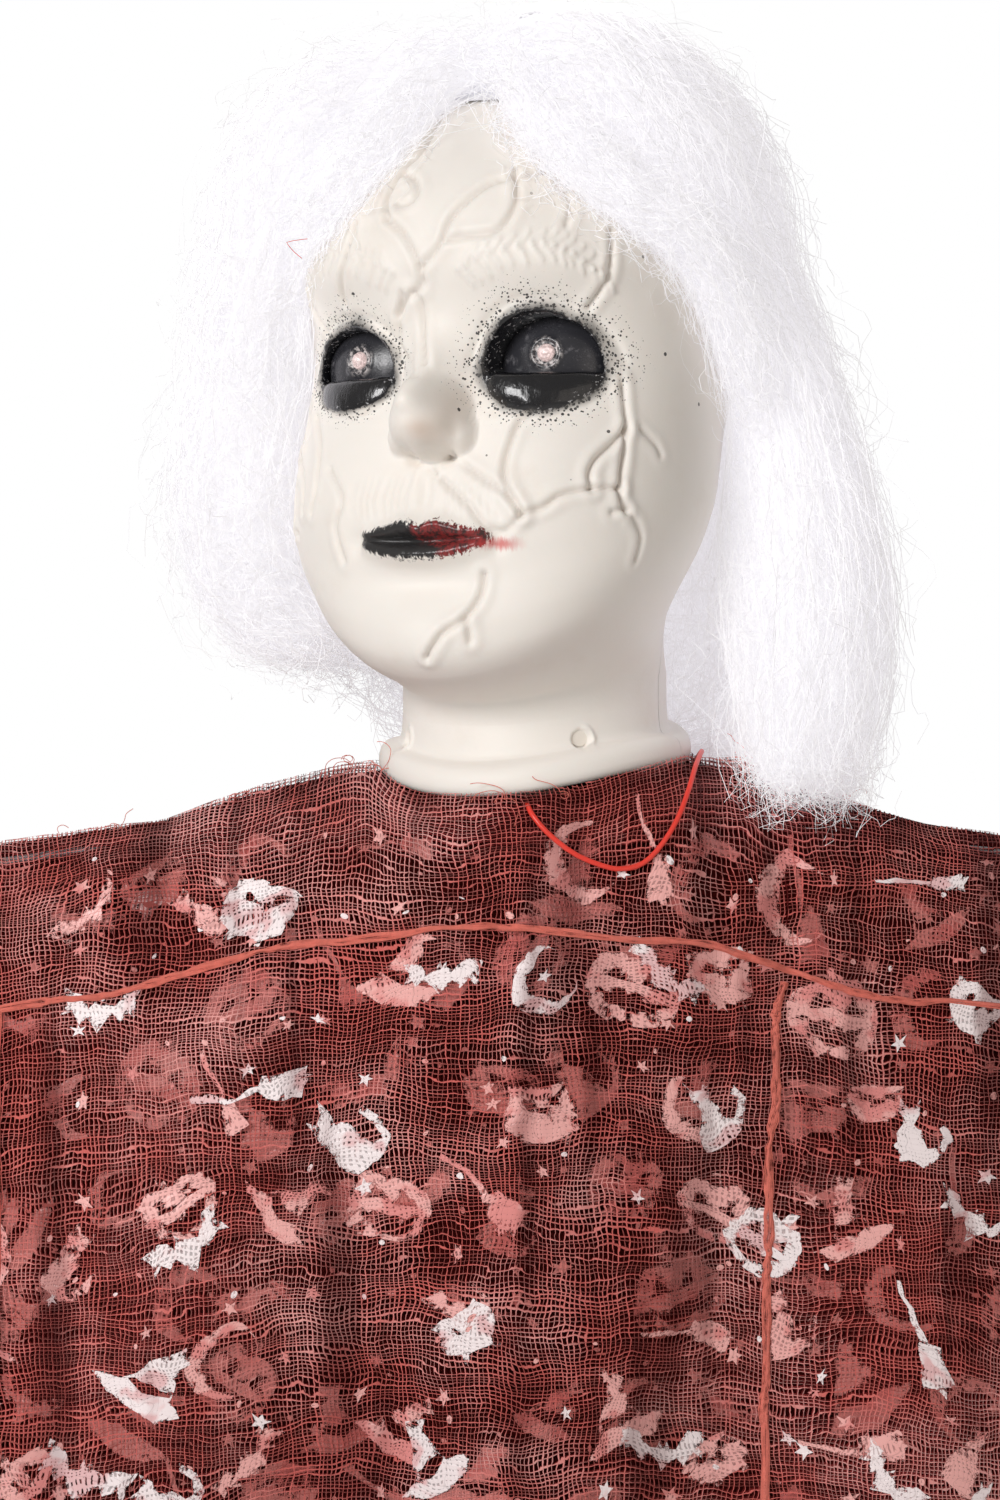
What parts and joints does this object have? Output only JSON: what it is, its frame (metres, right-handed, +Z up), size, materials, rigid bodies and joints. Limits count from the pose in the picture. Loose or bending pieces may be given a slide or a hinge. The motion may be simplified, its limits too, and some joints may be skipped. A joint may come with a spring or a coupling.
{
  "type": "hanging ghost decoration",
  "caption": "Hanging ghost doll: cracked plastic head with lamp eyes and a white wig, over a wide red gauze gown on shoulder arms, with a battery box inside.",
  "frame": {"origin": "the inside top of the hanging ring, where the hook or string holds it", "axes": "+Z up, -Y out of the front of the gown, +X to the right as seen from the front"},
  "size_m": [0.5604, 0.1486, 0.9197],
  "materials": {
    "ivory_plastic": "satin moulded plastic with raised crack lines",
    "charcoal_paint": "glossy charcoal paint",
    "clear_lamp": "clear cast lamp",
    "white_fibre": "frizzy white fibre",
    "cap_cloth": "open wig netting",
    "steel": "bright wire and hardware",
    "contact_metal": "plated contact strip",
    "grey_plastic": "moulded, satin",
    "black_plastic": "moulded, satin",
    "cell_skin": "printed film over metal",
    "black_lining": "thin black woven cloth",
    "red_gauze": "open red mesh with white printed figures",
    "red_lead": "smooth red sheath"
  },
  "bodies": {
    "hanging_ring": {"hanging_ring": "steel"},
    "head": {"face_shell": "ivory_plastic", "back_shell": "ivory_plastic", "eyeball_left": "charcoal_paint", "eyeball_right": "charcoal_paint", "eye_lamp_left": "clear_lamp", "eye_lamp_right": "clear_lamp", "lamp_lead_left": "red_lead", "lamp_lead_right": "red_lead", "crown_eye": "steel", "crown_washer": "steel", "crown_nut": "steel", "wig_cap": "cap_cloth", "hair_left": "white_fibre", "hair_right": "white_fibre", "hair_back": "white_fibre", "neck_plug": "ivory_plastic", "pivot_bolt": "steel", "pivot_nut": "steel"},
    "torso": {"shoulder_hub": "grey_plastic", "shoulder_arm_left": "grey_plastic", "shoulder_arm_right": "grey_plastic", "robe_lining_front": "black_lining", "robe_lining_back": "black_lining", "robe_gauze_front": "red_gauze", "robe_gauze_back": "red_gauze", "battery_box": "black_plastic", "battery_cell_left": "cell_skin", "battery_cell_right": "cell_skin", "contact_spring_left": "steel", "contact_spring_right": "steel", "contact_plate_lower": "contact_metal", "contact_plate_upper": "contact_metal", "box_screw_left": "steel", "box_screw_right": "steel", "switch_body": "steel", "red_lead": "red_lead"},
    "battery_cover": {"battery_cover": "black_plastic"},
    "switch_knob": {"switch_knob": "black_plastic"}
  },
  "joints": [
    {"name": "hang_swing", "type": "hinge", "parent": "hanging_ring", "child": "head", "pos_m": [0, 0, -0.0107], "axis": [1, 0, 0], "range_deg": [-45, 45]},
    {"name": "head_turn", "type": "hinge", "parent": "head", "child": "torso", "pos_m": [0, 0, -0.21], "axis": [0, 0, 1], "range_deg": [-116, 64]},
    {"name": "cover_slide", "type": "slide", "parent": "torso", "child": "battery_cover", "axis": [0, 0, -1], "range_m": [0, 0.06]},
    {"name": "switch_slide", "type": "slide", "parent": "torso", "child": "switch_knob", "axis": [1, 0, 0], "range_m": [0, 0.004]}
  ]
}
